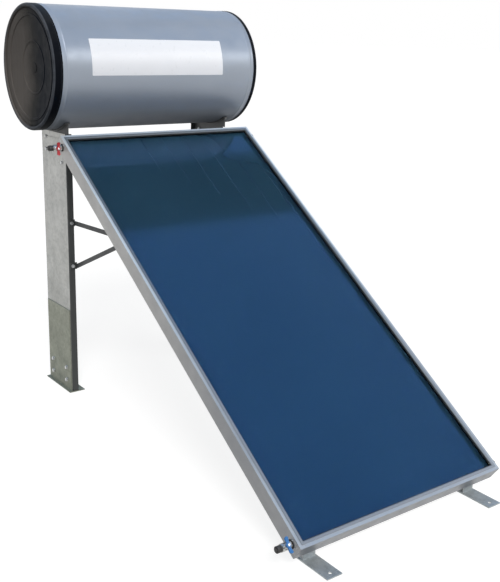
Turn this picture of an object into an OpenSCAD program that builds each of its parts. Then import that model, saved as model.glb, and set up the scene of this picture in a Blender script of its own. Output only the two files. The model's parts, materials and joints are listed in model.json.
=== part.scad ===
// Thermosiphon solar water heater: tilted flat-plate collector, horizontal
// storage tank above its top edge, galvanised stand with two wide rear legs.
// Millimetres, +Z up, +X along the tank, -Y towards the low edge of the collector.
// Origin: on the ground, at the centre of the four anchor holes in the feet.

/* [Collector] */
// Width of the collector casing along X
collector_w = 1024; // [864:8:1256]
// Length of the collector casing along its slope
collector_l = 2094; // [1704:10:2404]
// Depth of the collector casing, glass side to back
collector_d = 67; // [64:1:110]
// Tilt of the collector from level, degrees
tilt = 33.9; // [28:0.1:42]
// Height above the ground of the glass side of the low edge
low_edge_h = 104.5; // [104:0.5:200]
// Visible width of the casing lip around the glass
lip_w = 24; // [12:1:26]
// Number of riser tubes behind the absorber
riser_n = 9; // [5:1:13]

/* [Tank] */
// Outside diameter of the tank shell
tank_d = 555; // [480:5:620]
// Length of the tank shell between its end caps
tank_l = 1042; // [960:2:1300]
// Level distance from the top edge of the collector back to the tank axis
tank_back = 229; // [222:1:320]
// Rise of the underside of the tank above the top edge of the collector
tank_rise = 4.5; // [2:0.5:120]
// How far the left end cap stands out past the shell
cap_left = 34; // [24:1:60]
// How far the right end cap stands out past the shell
cap_right = 12; // [12:1:40]
// Length of the blank label plate
label_l = 697; // [300:1:800]

/* [Stand] */
// Distance between the outer faces of the two sides of the stand
stand_w = 880; // [820:10:960]
// Width of each rear leg channel, front to back
leg_w = 260; // [220:10:300]
// Depth of the leg channel flanges
leg_flange = 30; // [26:1:40]
// Sheet thickness of the rear legs
leg_t = 3; // [2:0.5:4]
// Depth of the side rails under the casing
rail_h = 40; // [34:1:42]
// Width of the strut bars
strut_w = 20; // [18:1:26]
// Distance down the slope from the top edge of the collector to the strut joint
joint_drop = 584; // [504:10:904]
// Width of each foot plate
foot_w = 68; // [60:1:80]
// Height of the upright plate of each rear foot
foot_up = 420; // [150:10:450]

/* [Valves] */
// Length of the butterfly handle of each header valve
handle_l = 58; // [44:1:60]
// Distance of the valve balls outside the casing wall
valve_out = 31; // [31:1:50]

/* [Hidden] */
sn = sin(tilt);
cs = cos(tilt);
half_w = collector_w / 2;
tank_r = tank_d / 2;
half_t = tank_l / 2;
foot_t = 5;
front_hole = -42;
back_hole = collector_l * cs + tank_back;
y_low = -(back_hole + front_hole) / 2;
tank_y = y_low + back_hole;
tank_z = low_edge_h + collector_l * sn + tank_rise + tank_r;
leg_x = stand_w / 2;
leg_y0 = tank_y - leg_w / 2;
leg_y1 = tank_y + leg_w / 2;
leg_top = tank_z - tank_r - 12;
hole_x = leg_x - 25;
rail_x = leg_x - leg_t;
rail_w = 25;
rail_t = 2.5;
rail_s0 = 37;
rail_n = -collector_d - rail_h / 2;
plate_t = 5;
pad_t = 3;
wall = 2;
header_s = 40;
header_n = -34;
header_r = 11;
riser_r = 4;
absorber_n = -22;
label_x0 = -372;
label_a0 = -4.5;
label_a1 = 29;
cradle_a = 32;
inner_r = tank_r - 52;
dome_r = inner_r + 74.5;
dome_c = sqrt(dome_r * dome_r - inner_r * inner_r);
inner_x = half_t - 39 - dome_r + dome_c;
cold_turn = 40;
cap_skin = 3;
cap_rim = 10;
cap_low = 4;
cap_in = tank_r + 2 - 2 * cap_rim;
cover_r = 70;
port_a = 35;
port_x = 300;
port_r = 13;
ball_r = 11;
valve_x = -half_w - valve_out;
joint_s = collector_l - joint_drop;
cross_s = [312, joint_s - 130];
cross_w = 30;
clamp_s = [192, collector_l - 272];
m8 = 8;
m10 = 10;
slack = 0.25;
$fn = 64;

// Height at level distance y and depth n below the glass side
function slope_z(y, n) = low_edge_h + (y - y_low + n * sn) / cs * sn + n * cs;
// Level position and height of a point at distance s and depth n
function at_y(s, n) = y_low + s * cs - n * sn;
function at_z(s, n) = low_edge_h + s * sn + n * cs;
// Radius of the dish of an end cap that stands out by out
function dish_r(out) =
  (pow(cap_in, 2) + pow(out - cap_rim + cap_low - 1, 2)) / (2 * (out - cap_rim + cap_low - 1));
function flats(d) = d == 8 ? 13 : d == 10 ? 16 : d * 1.7;

joint_y = at_y(joint_s, rail_n);
joint_z = at_z(joint_s, rail_n);
strut_z = [joint_z - 23, joint_z - 231];
cross_top_z = leg_top - 150;
foot_bolts = [[tank_y - 75, 50], [tank_y + 75, 50], [tank_y - 75, 115], [tank_y + 75, 115]];
saddle_bolts = [[-80, -30], [80, -30], [-80, -88], [80, -88]];
rail_bolt_s = [74, 124];
clip_y = leg_y0 - 42;
clip_z = slope_z(clip_y, rail_n);
clip_b = slope_z(leg_y0, rail_n);
cap_r = dish_r(cap_right);
cover_x = half_t - cap_low + cap_r - sqrt(pow(cap_r - cap_skin, 2) - cover_r * cover_r);

// ---------- placing helpers ----------

module on_slope() {
  translate([0, y_low, low_edge_h])
    rotate([tilt, 0, 0])
      children();
}

module at_tank() {
  translate([0, tank_y, tank_z])
    rotate([0, 90, 0])
      children();
}

module flip() {
  mirror([1, 0, 0])
    children();
}

module both() {
  children();
  flip() children();
}

module hole_x(y, z, d, x0, x1) {
  translate([x0, y, z])
    rotate([0, 90, 0])
      cylinder(d = d, h = x1 - x0, $fn = 32);
}

module hole_y(x, z, d, y0, y1) {
  translate([x, y0, z])
    rotate([-90, 0, 0])
      cylinder(d = d, h = y1 - y0, $fn = 32);
}

// Hexagon bolt with washer and nut: head above z = 0, grip below it
module hex_bolt(d, grip) {
  translate([0, 0, -grip - d * 0.8 - 3])
    cylinder(d = d, h = grip + d * 0.8 + 4, $fn = 32);
  cylinder(d = d * 2, h = 1.6, $fn = 32);
  translate([0, 0, 1.6])
    cylinder(r = flats(d) / sqrt(3), h = d * 0.6, $fn = 6);
  translate([0, 0, -grip - d * 0.8])
    cylinder(r = flats(d) / sqrt(3), h = d * 0.8, $fn = 6);
}

// Bolt along X with its head facing +X at x
module bolt_x(x, y, z, d, grip) {
  translate([x, y, z])
    rotate([0, 90, 0])
      hex_bolt(d, grip);
}

// Bolt along Y with its head facing -Y at y
module bolt_y(x, y, z, d, grip) {
  translate([x, y, z])
    rotate([90, 0, 0])
      hex_bolt(d, grip);
}

// Channel outline: web face on x = 0, flanges to -f, width w along y
module channel(w, f, t, r) {
  difference() {
    union() {
      translate([-f, 0]) square([f - r, w]);
      translate([-f, r]) square([f, w - 2 * r]);
      for (y = [r, w - r])
        translate([-r, y]) circle(r = r, $fn = 32);
    }
    union() {
      translate([-f - 1, t]) square([f + 1 - r, w - 2 * t]);
      translate([-f - 1, r]) square([f + 1 - t, w - 2 * r]);
      for (y = [r, w - r])
        translate([-r, y]) circle(r = r - t, $fn = 32);
    }
  }
}

// ---------- collector ----------

// Casing section: outer wall on x = 0, inside towards -x, glass side on y = 0
module casing_outline() {
  translate([-wall, -collector_d]) square([wall, collector_d]);
  translate([-lip_w, -wall]) square([lip_w, wall]);
  translate([-lip_w + 2, -10]) square([lip_w - 2, wall]);
  translate([-16, -collector_d]) square([16, wall]);
}

module header_bores() {
  for (s = [header_s, collector_l - header_s])
    hole_x(s, header_n, 28, -half_w - 5, half_w + 5);
}

// Bar of the casing along X, half length hx
module bar(hx, s0, s1, n0, n1) {
  translate([-hx, s0, n0])
    cube([2 * hx, s1 - s0, n1 - n0]);
}

module side_frame() {
  on_slope()
    difference() {
      union() {
        translate([half_w, collector_l - wall, 0])
          rotate([90, 0, 0])
            linear_extrude(collector_l - 2 * wall) casing_outline();
        translate([half_w - wall, 0, -collector_d])
          cube([wall, collector_l, collector_d]);
      }
      header_bores();
    }
}

module end_frame() {
  bar(half_w - wall, 0, wall, -collector_d, 0);
  bar(half_w - lip_w, 0, lip_w, -wall, 0);
  bar(half_w - lip_w + 2, 0, lip_w - 2, -10, -10 + wall);
  bar(half_w - 16, 0, 16, -collector_d, -collector_d + wall);
}

module frame_right() {
  color("silver") side_frame();
}

module frame_left() {
  color("silver") flip() side_frame();
}

module frame_bottom() {
  color("silver") on_slope() end_frame();
}

module frame_top() {
  color("silver")
    on_slope()
      translate([0, collector_l, 0])
        mirror([0, 1, 0])
          end_frame();
}

module glass() {
  color("lightblue")
    on_slope()
      translate([-half_w + 4, 4, -7])
        cube([collector_w - 8, collector_l - 8, 4]);
}

module glass_gasket() {
  color("black")
    on_slope()
      difference() {
        translate([-half_w + wall, wall, -8])
          cube([collector_w - 2 * wall, collector_l - 2 * wall, 6]);
        translate([-half_w + lip_w + 3, lip_w + 3, -9])
          cube([collector_w - 2 * lip_w - 6, collector_l - 2 * lip_w - 6, 9]);
        translate([-half_w + 4, 4, -7])
          cube([collector_w - 8, collector_l - 8, 4]);
      }
}

module absorber_plate() {
  color("navy")
    on_slope()
      translate([-half_w + 18, 18, absorber_n])
        cube([collector_w - 36, collector_l - 36, 1]);
}

module header_bar(s, r) {
  over = valve_out - 16;
  translate([-half_w - over, s, header_n])
    rotate([0, 90, 0])
      cylinder(r = r, h = collector_w + over + 18);
}

module risers() {
  pitch = (collector_w - 120) / (riser_n - 1);
  for (i = [0 : riser_n - 1])
    translate([-half_w + 60 + i * pitch, header_s, absorber_n - riser_r])
      rotate([-90, 0, 0])
        cylinder(r = riser_r, h = collector_l - 2 * header_s, $fn = 24);
}

module riser_tubes() {
  color("chocolate")
    on_slope()
      difference() {
        risers();
        header_bar(header_s, header_r);
        header_bar(collector_l - header_s, header_r);
      }
}

module header_tube(s) {
  color("chocolate")
    on_slope()
      difference() {
        header_bar(s, header_r);
        translate([-1, 0, 0]) header_bar(s, header_r - 1);
        translate([1, 0, 0]) header_bar(s, header_r - 1);
      }
}

module header_top() {
  header_tube(collector_l - header_s);
}

module header_bottom() {
  header_tube(header_s);
}

// Rubber ring with a groove that sits on the edge of the casing bore
module grommet() {
  difference() {
    translate([0, 0, -5]) cylinder(r = 17, h = 8);
    translate([0, 0, -6]) cylinder(r = header_r, h = 10);
    translate([0, 0, -2])
      difference() {
        cylinder(r = 18, h = wall);
        cylinder(r = 14, h = wall);
      }
  }
}

module header_grommets() {
  color("dimgray")
    on_slope()
      for (s = [header_s, collector_l - header_s]) {
        translate([half_w, s, header_n]) rotate([0, 90, 0]) grommet();
        translate([-half_w, s, header_n]) rotate([0, -90, 0]) grommet();
      }
}

module collector_insulation() {
  color("khaki")
    on_slope()
      difference() {
        translate([-half_w + 16, 16, -collector_d + 3])
          cube([collector_w - 32, collector_l - 32, collector_d - 3 + absorber_n - 9]);
        header_bar(header_s, header_r + 0.5);
        header_bar(collector_l - header_s, header_r + 0.5);
        for (s = [header_s, collector_l - header_s])
          translate([-half_w - 5, s - header_r - 0.5, header_n])
            cube([collector_w + 10, 2 * header_r + 1, 20]);
        for (k = [-1, 1])
          for (s = [header_s, collector_l - header_s])
            hole_x(s, header_n, 36, k * half_w - 18, k * half_w + 18);
      }
}

module back_sheet() {
  color("gray")
    on_slope()
      translate([-half_w + wall + 0.5, wall + 0.5, -collector_d + wall])
        cube([collector_w - 2 * wall - 1, collector_l - 2 * wall - 1, 1]);
}

module header_plugs() {
  color("black")
    on_slope()
      for (s = [header_s, collector_l - header_s])
        translate([half_w + 4, s, header_n])
          rotate([0, 90, 0])
            difference() {
              union() {
                cylinder(r = 14, h = 20);
                translate([0, 0, 20]) cylinder(r = 11, h = 4);
                cylinder(r = 15.5, h = 5);
              }
              translate([0, 0, -1]) cylinder(r = header_r, h = 15);
            }
}

// ---------- tank ----------

module bead(x) {
  translate([0, 0, x])
    rotate_extrude($fn = 128)
      intersection() {
        translate([tank_r - 0.5, 0]) circle(r = 3, $fn = 32);
        translate([tank_r - 0.6, -5]) square([10, 10]);
      }
}

module port_bar(r, h0, h1) {
  translate([0, tank_y, tank_z])
    for (x = [-port_x, port_x])
      translate([x, 0, 0])
        rotate([port_a, 0, 0])
          translate([0, 0, -h1])
            cylinder(r = r, h = h1 - h0, $fn = 32);
}

module tank_shell() {
  color("lightsteelblue")
    difference() {
      at_tank() {
        difference() {
          translate([0, 0, -half_t]) cylinder(r = tank_r, h = tank_l, $fn = 128);
          translate([0, 0, -half_t - 1]) cylinder(r = tank_r - 1.5, h = tank_l + 2, $fn = 128);
        }
        bead(-half_t + 33);
        bead(half_t - 33);
      }
      port_bar(port_r, tank_r - 20, tank_r + 20);
    }
}

// Half section of the inner vessel, off inside its outer face
module vessel_outline(off) {
  translate([0, -inner_x + 3]) square([inner_r - off, 2 * inner_x - 6]);
  for (k = [0, 1])
    mirror([0, k])
      intersection() {
        translate([0, inner_x - dome_c]) circle(r = dome_r - off, $fn = 256);
        translate([0, inner_x - 5]) square([inner_r - off, 160]);
      }
}

module inner_tank() {
  color("slategray")
    difference() {
      at_tank()
        rotate_extrude($fn = 128)
          difference() {
            vessel_outline(0);
            vessel_outline(2.5);
          }
      port_bar(port_r, inner_r - 20, inner_r + 20);
      translate([0, tank_y, tank_z])
        hole_x(0, 0, 32, inner_x, half_t);
    }
}

module tank_insulation() {
  color("wheat")
    difference() {
      at_tank()
        rotate_extrude($fn = 128)
          difference() {
            translate([0, -half_t + 6]) square([tank_r - 1.5, tank_l - 12]);
            vessel_outline(0);
          }
      port_bar(port_r, inner_r - 20, tank_r + 20);
      translate([0, tank_y, tank_z])
        hole_x(0, 0, 50, inner_x, half_t);
    }
}

// End cap section: radius along x, distance out from the shell end along y
module cap_outline(out) {
  top = out - cap_rim;
  dish = dish_r(out);
  difference() {
    union() {
      translate([tank_r + 2 - cap_rim, top]) circle(r = cap_rim, $fn = 64);
      translate([tank_r - 10, -10]) square([12, 10 + top]);
    }
    union() {
      translate([tank_r + 2 - cap_rim, top]) circle(r = cap_rim - cap_skin, $fn = 64);
      translate([tank_r - 40, -17]) square([42 - cap_skin, 17 + top]);
      translate([tank_r - 40, -17]) square([40, 17]);
    }
  }
  intersection() {
    difference() {
      translate([0, dish - cap_low]) circle(r = dish, $fn = 256);
      translate([0, dish - cap_low]) circle(r = dish - cap_skin, $fn = 256);
    }
    translate([0, -cap_low - 1]) square([cap_in + 1.5, out + cap_low]);
  }
}

module end_cap(out) {
  translate([half_t, tank_y, tank_z])
    rotate([0, 90, 0])
      rotate_extrude($fn = 128) cap_outline(out);
}

module end_cap_right() {
  color("black") end_cap(cap_right);
}

module end_cap_left() {
  color("black") flip() end_cap(cap_left);
}

module label_plate() {
  far = tank_r + 60;
  mid = (label_a0 + label_a1) / 2;
  color("white")
    intersection() {
      translate([label_x0, tank_y, tank_z])
        rotate([0, 90, 0])
          difference() {
            cylinder(r = tank_r + 0.8, h = label_l, $fn = 128);
            translate([0, 0, -1]) cylinder(r = tank_r, h = label_l + 2, $fn = 128);
          }
      translate([label_x0 - 1, tank_y, tank_z])
        rotate([90, 0, 90])
          linear_extrude(label_l + 2)
            polygon([
              [0, 0],
              [-far * cos(label_a0), far * sin(label_a0)],
              [-far * 1.1 * cos(mid), far * 1.1 * sin(mid)],
              [-far * cos(label_a1), far * sin(label_a1)]
            ]);
    }
}

module service_cover() {
  color("black")
    translate([cover_x, tank_y, tank_z])
      rotate([0, 90, 0])
        difference() {
          union() {
            cylinder(r = cover_r, h = 5);
            cylinder(r = cover_r - 12, h = 9);
          }
          for (a = [90, 210, 330])
            rotate([0, 0, a])
              translate([cover_r - 6, 0, -1]) cylinder(d = 4.5, h = 12, $fn = 24);
        }
}

module cover_screws() {
  color("silver")
    translate([cover_x, tank_y, tank_z])
      rotate([0, 90, 0])
        for (a = [90, 210, 330])
          rotate([0, 0, a])
            translate([cover_r - 6, 0, 1]) {
              cylinder(d = 4, h = 5, $fn = 24);
              translate([0, 0, 4]) cylinder(d = 8, h = 2.4, $fn = 24);
            }
}

module tank_ports() {
  color("goldenrod")
    difference() {
      port_bar(port_r, inner_r - 8, tank_r + 22);
      port_bar(port_r - 3, inner_r - 9, tank_r + 23);
    }
}

module port_plugs() {
  color("black")
    difference() {
      port_bar(port_r + 3.5, tank_r + 8, tank_r + 27);
      port_bar(port_r, tank_r, tank_r + 22);
    }
}

module anode_rod() {
  color("gray")
    translate([0, tank_y, tank_z])
      rotate([0, 90, 0]) {
        translate([0, 0, -120]) cylinder(d = 22, h = inner_x + dome_r - dome_c + 112);
        translate([0, 0, inner_x + dome_r - dome_c - 12]) cylinder(d = 32, h = 22);
      }
}

// ---------- stand ----------

module leg() {
  difference() {
    translate([leg_x, leg_y0, foot_t])
      linear_extrude(leg_top - foot_t) channel(leg_w, leg_flange, leg_t, leg_t + 2);
    for (p = foot_bolts)
      hole_x(p[0], p[1], m10 + 2 * slack, leg_x - 10, leg_x + 5);
    for (p = saddle_bolts)
      hole_x(tank_y + p[0], leg_top + p[1], m8 + 2 * slack, leg_x - 10, leg_x + 5);
    for (z = strut_z)
      hole_y(leg_x - 16, z, m8 + 2 * slack, leg_y0 - 5, leg_y0 + 10);
    hole_y(leg_x - 18, clip_b, m8 + 2 * slack, leg_y0 - 5, leg_y0 + 10);
    hole_x(leg_y0 + 45, cross_top_z + 15, m8 + 2 * slack, leg_x - 10, leg_x + 5);
  }
}

module leg_core() {
  translate([leg_x - 10, leg_y0 + leg_t + 2, 0])
    cube([20, leg_w - 2 * leg_t - 4, leg_top + 10]);
}

module leg_web() {
  intersection() {
    leg();
    leg_core();
  }
}

module leg_flanges() {
  difference() {
    leg();
    leg_core();
  }
}

module leg_web_right() {
  color("lightgray") leg_web();
}

module leg_web_left() {
  color("lightgray") flip() leg_web();
}

module leg_flanges_right() {
  color("lightgray") leg_flanges();
}

module leg_flanges_left() {
  color("lightgray") flip() leg_flanges();
}

module rear_foot() {
  difference() {
    union() {
      translate([leg_x - foot_w + 6, leg_y0 - 4, 0])
        cube([foot_w + 12, leg_w + 8, foot_t]);
      translate([leg_x, leg_y0 + 8, 1])
        cube([4, leg_w - 16, foot_up]);
    }
    for (p = foot_bolts)
      hole_x(p[0], p[1], m10 + 2 * slack, leg_x - 10, leg_x + 10);
    translate([hole_x, tank_y, -1])
      cylinder(d = 13, h = 10, $fn = 32);
  }
}

module rear_foot_right() {
  color("gray") rear_foot();
}

module rear_foot_left() {
  color("gray") flip() rear_foot();
}

module saddle_arc(r0, r1, x0, x1, a) {
  far = tank_r + 80;
  translate([x0, tank_y, tank_z])
    rotate([90, 0, 90])
      linear_extrude(x1 - x0)
        intersection() {
          difference() {
            circle(r = r1, $fn = 128);
            circle(r = r0, $fn = 128);
          }
          polygon([
            [0, 0],
            [-far * sin(a), -far * cos(a)],
            [0, -far * 1.2],
            [far * sin(a), -far * cos(a)]
          ]);
        }
}

module saddle() {
  difference() {
    union() {
      difference() {
        union() {
          translate([rail_x - plate_t, leg_y0 + leg_t + 3, leg_top - 115])
            cube([plate_t, leg_w - 2 * leg_t - 6, 118]);
          translate([rail_x - plate_t, tank_y - 148, leg_top + 1])
            cube([plate_t, 296, 75]);
        }
        translate([rail_x - plate_t - 1, tank_y, tank_z])
          rotate([0, 90, 0])
            cylinder(r = tank_r + pad_t + 2, h = plate_t + 2, $fn = 128);
      }
      saddle_arc(tank_r + pad_t, tank_r + pad_t + 4, rail_x - 12, rail_x + 13, cradle_a);
    }
    for (p = saddle_bolts)
      hole_x(tank_y + p[0], leg_top + p[1], m8 + 2 * slack, leg_x - 20, leg_x + 5);
  }
}

module saddle_right() {
  color("dimgray") saddle();
}

module saddle_left() {
  color("dimgray") flip() saddle();
}

module saddle_pads() {
  color("black")
    both()
      saddle_arc(tank_r, tank_r + pad_t, rail_x - 12, rail_x + 13, cradle_a - 2);
}

module rail() {
  difference() {
    on_slope()
      difference() {
        translate([rail_x, rail_s0, -collector_d])
          rotate([-90, 0, 0])
            linear_extrude(collector_l + 200) channel(rail_h, rail_w, rail_t, rail_t + 1.5);
        for (s = rail_bolt_s)
          hole_x(s, rail_n, m8 + 2 * slack, rail_x - 10, rail_x + 5);
        hole_x(joint_s, rail_n, m10 + 2 * slack, rail_x - 10, rail_x + 5);
        for (s = cross_s)
          hole_x(s + cross_w / 2, rail_n, m8 + 2 * slack, rail_x - 10, rail_x + 5);
        for (s = clamp_s)
          hole_x(s + 20, rail_n, m8 + 2 * slack, rail_x - 10, rail_x + 5);
      }
    hole_x(clip_y, clip_z, m8 + 2 * slack, rail_x - 10, rail_x + 5);
    translate([rail_x - 60, leg_y0, leg_top - 700])
      cube([120, 500, 900]);
  }
}

module rail_right() {
  color("lightgray") rail();
}

module rail_left() {
  color("lightgray") flip() rail();
}

// Angle that ties the top end of a rail to the front flange of the leg
module rail_clip() {
  difference() {
    intersection() {
      union() {
        translate([rail_x - rail_t - 4, leg_y0 - 65, leg_top - 400])
          cube([4, 65, 400]);
        translate([leg_x - leg_flange, leg_y0 - 4, leg_top - 400])
          cube([leg_flange - leg_t - rail_t, 4, 400]);
      }
      on_slope()
        translate([0, collector_l - 200, -collector_d - rail_h + rail_t + 2])
          cube([half_w, 600, rail_h - 2 * rail_t - 4]);
    }
    hole_x(clip_y, clip_z, m8 + 2 * slack, rail_x - 20, rail_x + 5);
    hole_y(leg_x - 18, clip_b, m8 + 2 * slack, leg_y0 - 10, leg_y0 + 5);
  }
}

module rail_clips() {
  color("gray") both() rail_clip();
}

module front_foot() {
  back = 110;
  s1 = 150;
  rise = 66;
  low = -collector_d - rail_h + 2;
  high = -collector_d - 1;
  difference() {
    union() {
      translate([hole_x - foot_w / 2, y_low - 67, 0])
        cube([foot_w, 67 + back, foot_t]);
      translate([hole_x - foot_w / 2 + 6, y_low + rise, 1])
        cube([foot_w - 12, 4, slope_z(y_low + rise, high) - 1]);
      translate([rail_x, 0, 0])
        rotate([90, 0, 90])
          linear_extrude(4)
            polygon([
              [y_low + rise, 1],
              [y_low + rise, slope_z(y_low + rise, high)],
              [at_y(s1, high), at_z(s1, high)],
              [at_y(s1, low), at_z(s1, low)],
              [y_low + back, 1]
            ]);
    }
    translate([hole_x, y_low + front_hole, -1])
      cylinder(d = 13, h = 10, $fn = 32);
    for (s = rail_bolt_s)
      hole_x(at_y(s, rail_n), at_z(s, rail_n), m8 + 2 * slack, rail_x - 5, rail_x + 10);
  }
}

module front_foot_right() {
  color("gray") front_foot();
}

module front_foot_left() {
  color("gray") flip() front_foot();
}

// Flat bar from the leg at height z to the rail joint, with a tab on the leg flange
module strut(z, x0) {
  ya = leg_y0 - 13;
  run = joint_y - ya;
  rise = joint_z - z;
  difference() {
    union() {
      translate([x0, 0, 0])
        rotate([90, 0, 90])
          linear_extrude(5) {
            translate([ya, z])
              rotate(atan2(rise, run))
                translate([0, -strut_w / 2]) square([sqrt(run * run + rise * rise), strut_w]);
            translate([ya, z]) circle(d = strut_w, $fn = 32);
            translate([joint_y, joint_z]) circle(d = strut_w, $fn = 32);
          }
      translate([x0, leg_y0 - 5, z - 16])
        cube([leg_x - 3 - x0, 5, 32]);
    }
    hole_x(joint_y, joint_z, m10 + 2 * slack, x0 - 5, x0 + 10);
    hole_y(leg_x - 16, z, m8 + 2 * slack, leg_y0 - 10, leg_y0 + 5);
  }
}

module strut_upper_right() {
  color("dimgray") strut(strut_z[0], rail_x - rail_w - 5);
}

module strut_upper_left() {
  color("dimgray") flip() strut(strut_z[0], rail_x - rail_w - 5);
}

module strut_lower_right() {
  color("dimgray") strut(strut_z[1], rail_x - rail_w - 10);
}

module strut_lower_left() {
  color("dimgray") flip() strut(strut_z[1], rail_x - rail_w - 10);
}

module strut_spacers() {
  color("gray")
    both()
      difference() {
        hole_x(joint_y, joint_z, 18, rail_x - rail_w, rail_x - rail_t);
        hole_x(joint_y, joint_z, m10 + 2 * slack, rail_x - rail_w - 1, rail_x);
      }
}

// Channel bar with end plates, open below, one end plate bored on each side
module cross_bar(half, z_bolt) {
  difference() {
    translate([-half, 0, 0]) cube([2 * half, cross_w, cross_w]);
    translate([-half + 6, 2.5, -1]) cube([2 * half - 12, cross_w - 5, cross_w - 1.5]);
    hole_x(cross_w / 2, z_bolt, m8 + 2 * slack, -half - 1, -half + 7);
    hole_x(cross_w / 2, z_bolt, m8 + 2 * slack, half - 7, half + 1);
  }
}

module cross_bars() {
  color("lightgray")
    on_slope()
      for (s = cross_s)
        translate([0, s, rail_n - cross_w / 2])
          cross_bar(rail_x - rail_t, cross_w / 2);
}

module cross_bar_top() {
  color("lightgray")
    translate([0, leg_y0 + 30, cross_top_z])
      cross_bar(leg_x - leg_t, cross_w / 2);
}

// Angle beside the rail with a shelf under the casing
module collector_clamps() {
  color("gray")
    both()
      on_slope()
        for (s = clamp_s)
          difference() {
            union() {
              translate([rail_x, s, -collector_d - 34]) cube([3, 40, 34]);
              translate([rail_x, s, -collector_d - 3]) cube([half_w - rail_x - 4, 40, 3]);
            }
            hole_x(s + 20, rail_n, m8 + 2 * slack, rail_x - 5, rail_x + 10);
          }
}

module side_bolts() {
  for (p = foot_bolts)
    bolt_x(leg_x + 4, p[0], p[1], m10, leg_t + 4);
  for (p = saddle_bolts)
    bolt_x(leg_x, tank_y + p[0], leg_top + p[1], m8, leg_t + plate_t);
  for (z = strut_z)
    bolt_y(leg_x - 16, leg_y0 - 5, z, m8, leg_t + 5);
  bolt_y(leg_x - 18, leg_y0 - 4, clip_b, m8, leg_t + 4);
  bolt_x(rail_x, clip_y, clip_z, m8, rail_t + 4);
  bolt_x(rail_x, joint_y, joint_z, m10, rail_w + 10);
  for (s = rail_bolt_s)
    bolt_x(rail_x + 4, at_y(s, rail_n), at_z(s, rail_n), m8, rail_t + 4);
  for (s = clamp_s)
    bolt_x(rail_x + 3, at_y(s + 20, rail_n), at_z(s + 20, rail_n), m8, rail_t + 3);
}

module stand_bolts_right() {
  color("silver") side_bolts();
}

module stand_bolts_left() {
  color("silver") flip() side_bolts();
}

module cross_bolts() {
  color("silver")
    both() {
      for (s = cross_s)
        bolt_x(rail_x, at_y(s + cross_w / 2, rail_n), at_z(s + cross_w / 2, rail_n), m8, rail_t + 6);
      bolt_x(leg_x, leg_y0 + 45, cross_top_z + 15, m8, leg_t + 6);
    }
}

// ---------- header valves ----------

module at_valve(s) {
  translate([valve_x, at_y(s, header_n), at_z(s, header_n)])
    children();
}

// Ball valve body: pipe along X, stem boss towards -Y, casing on the +X side
module valve_body() {
  difference() {
    union() {
      rotate([0, 90, 0]) cylinder(r = 14.5, h = 28, center = true);
      translate([10, 0, 0]) rotate([0, 90, 0]) cylinder(r = 15, h = 16, $fn = 6);
      translate([-24, 0, 0]) rotate([0, 90, 0]) cylinder(r = 10, h = 16);
      rotate([90, 0, 0]) cylinder(r = 8, h = 24);
    }
    rotate([0, 90, 0]) cylinder(r = 7.5, h = 120, center = true);
    translate([16, 0, 0]) rotate([0, 90, 0]) cylinder(r = header_r, h = 40);
    rotate([90, 0, 0]) cylinder(r = ball_r + 0.06, h = 2 * ball_r + 0.2, center = true);
    rotate([90, 0, 0]) cylinder(r = 4.06, h = 40);
  }
}

// Ball and stem, shut: the bore of the ball stands across the pipe
module valve_ball() {
  difference() {
    union() {
      sphere(r = ball_r);
      rotate([90, 0, 0]) cylinder(r = 4, h = 36);
    }
    cylinder(r = 6.5, h = 60, center = true);
  }
}

// Butterfly handle along Z, pressed on the stem
module valve_handle() {
  r = handle_l / 2 - 9;
  difference() {
    union() {
      translate([0, -24.4, 0]) rotate([90, 0, 0]) cylinder(r = 10, h = 13);
      translate([-6, -34.4, -r]) cube([12, 8, 2 * r]);
      for (z = [-r, r])
        translate([0, -26.4, z]) rotate([90, 0, 0]) cylinder(r = 9, h = 8);
      for (z = [-r, r])
        translate([-9, -37.4, z - 1.5]) cube([18, 6, 3]);
    }
    translate([0, -20, 0]) rotate([90, 0, 0]) cylinder(r = 4, h = 16);
  }
}

module valve_plug() {
  difference() {
    union() {
      translate([-32, 0, 0]) rotate([0, 90, 0]) cylinder(r = 12.5, h = 16.5);
      translate([-36, 0, 0]) rotate([0, 90, 0]) cylinder(r = 8, h = 5, $fn = 6);
    }
    translate([-24, 0, 0]) rotate([0, 90, 0]) cylinder(r = 10, h = 20);
  }
}

module hot_valve_body() {
  color("gold") at_valve(collector_l - header_s) valve_body();
}

module hot_valve_ball() {
  color("silver") at_valve(collector_l - header_s) valve_ball();
}

module hot_valve_handle() {
  color("red") at_valve(collector_l - header_s) valve_handle();
}

module hot_valve_plug() {
  color("black") at_valve(collector_l - header_s) valve_plug();
}

module cold_valve_body() {
  color("gold") at_valve(header_s) rotate([-cold_turn, 0, 0]) valve_body();
}

module cold_valve_ball() {
  color("silver") at_valve(header_s) rotate([-cold_turn, 0, 0]) valve_ball();
}

module cold_valve_handle() {
  color("blue") at_valve(header_s) rotate([-cold_turn, 0, 0]) valve_handle();
}

module cold_valve_plug() {
  color("black") at_valve(header_s) rotate([-cold_turn, 0, 0]) valve_plug();
}

frame_left();
frame_right();
frame_top();
frame_bottom();
glass();
glass_gasket();
absorber_plate();
riser_tubes();
header_top();
header_bottom();
header_grommets();
collector_insulation();
back_sheet();
header_plugs();
tank_shell();
inner_tank();
tank_insulation();
end_cap_left();
end_cap_right();
label_plate();
service_cover();
cover_screws();
tank_ports();
port_plugs();
anode_rod();
leg_web_left();
leg_web_right();
leg_flanges_left();
leg_flanges_right();
rear_foot_left();
rear_foot_right();
saddle_left();
saddle_right();
saddle_pads();
rail_left();
rail_right();
rail_clips();
front_foot_left();
front_foot_right();
strut_upper_left();
strut_upper_right();
strut_lower_left();
strut_lower_right();
strut_spacers();
cross_bars();
cross_bar_top();
collector_clamps();
stand_bolts_left();
stand_bolts_right();
cross_bolts();
hot_valve_body();
hot_valve_ball();
hot_valve_handle();
hot_valve_plug();
cold_valve_body();
cold_valve_ball();
cold_valve_handle();
cold_valve_plug();
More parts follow.
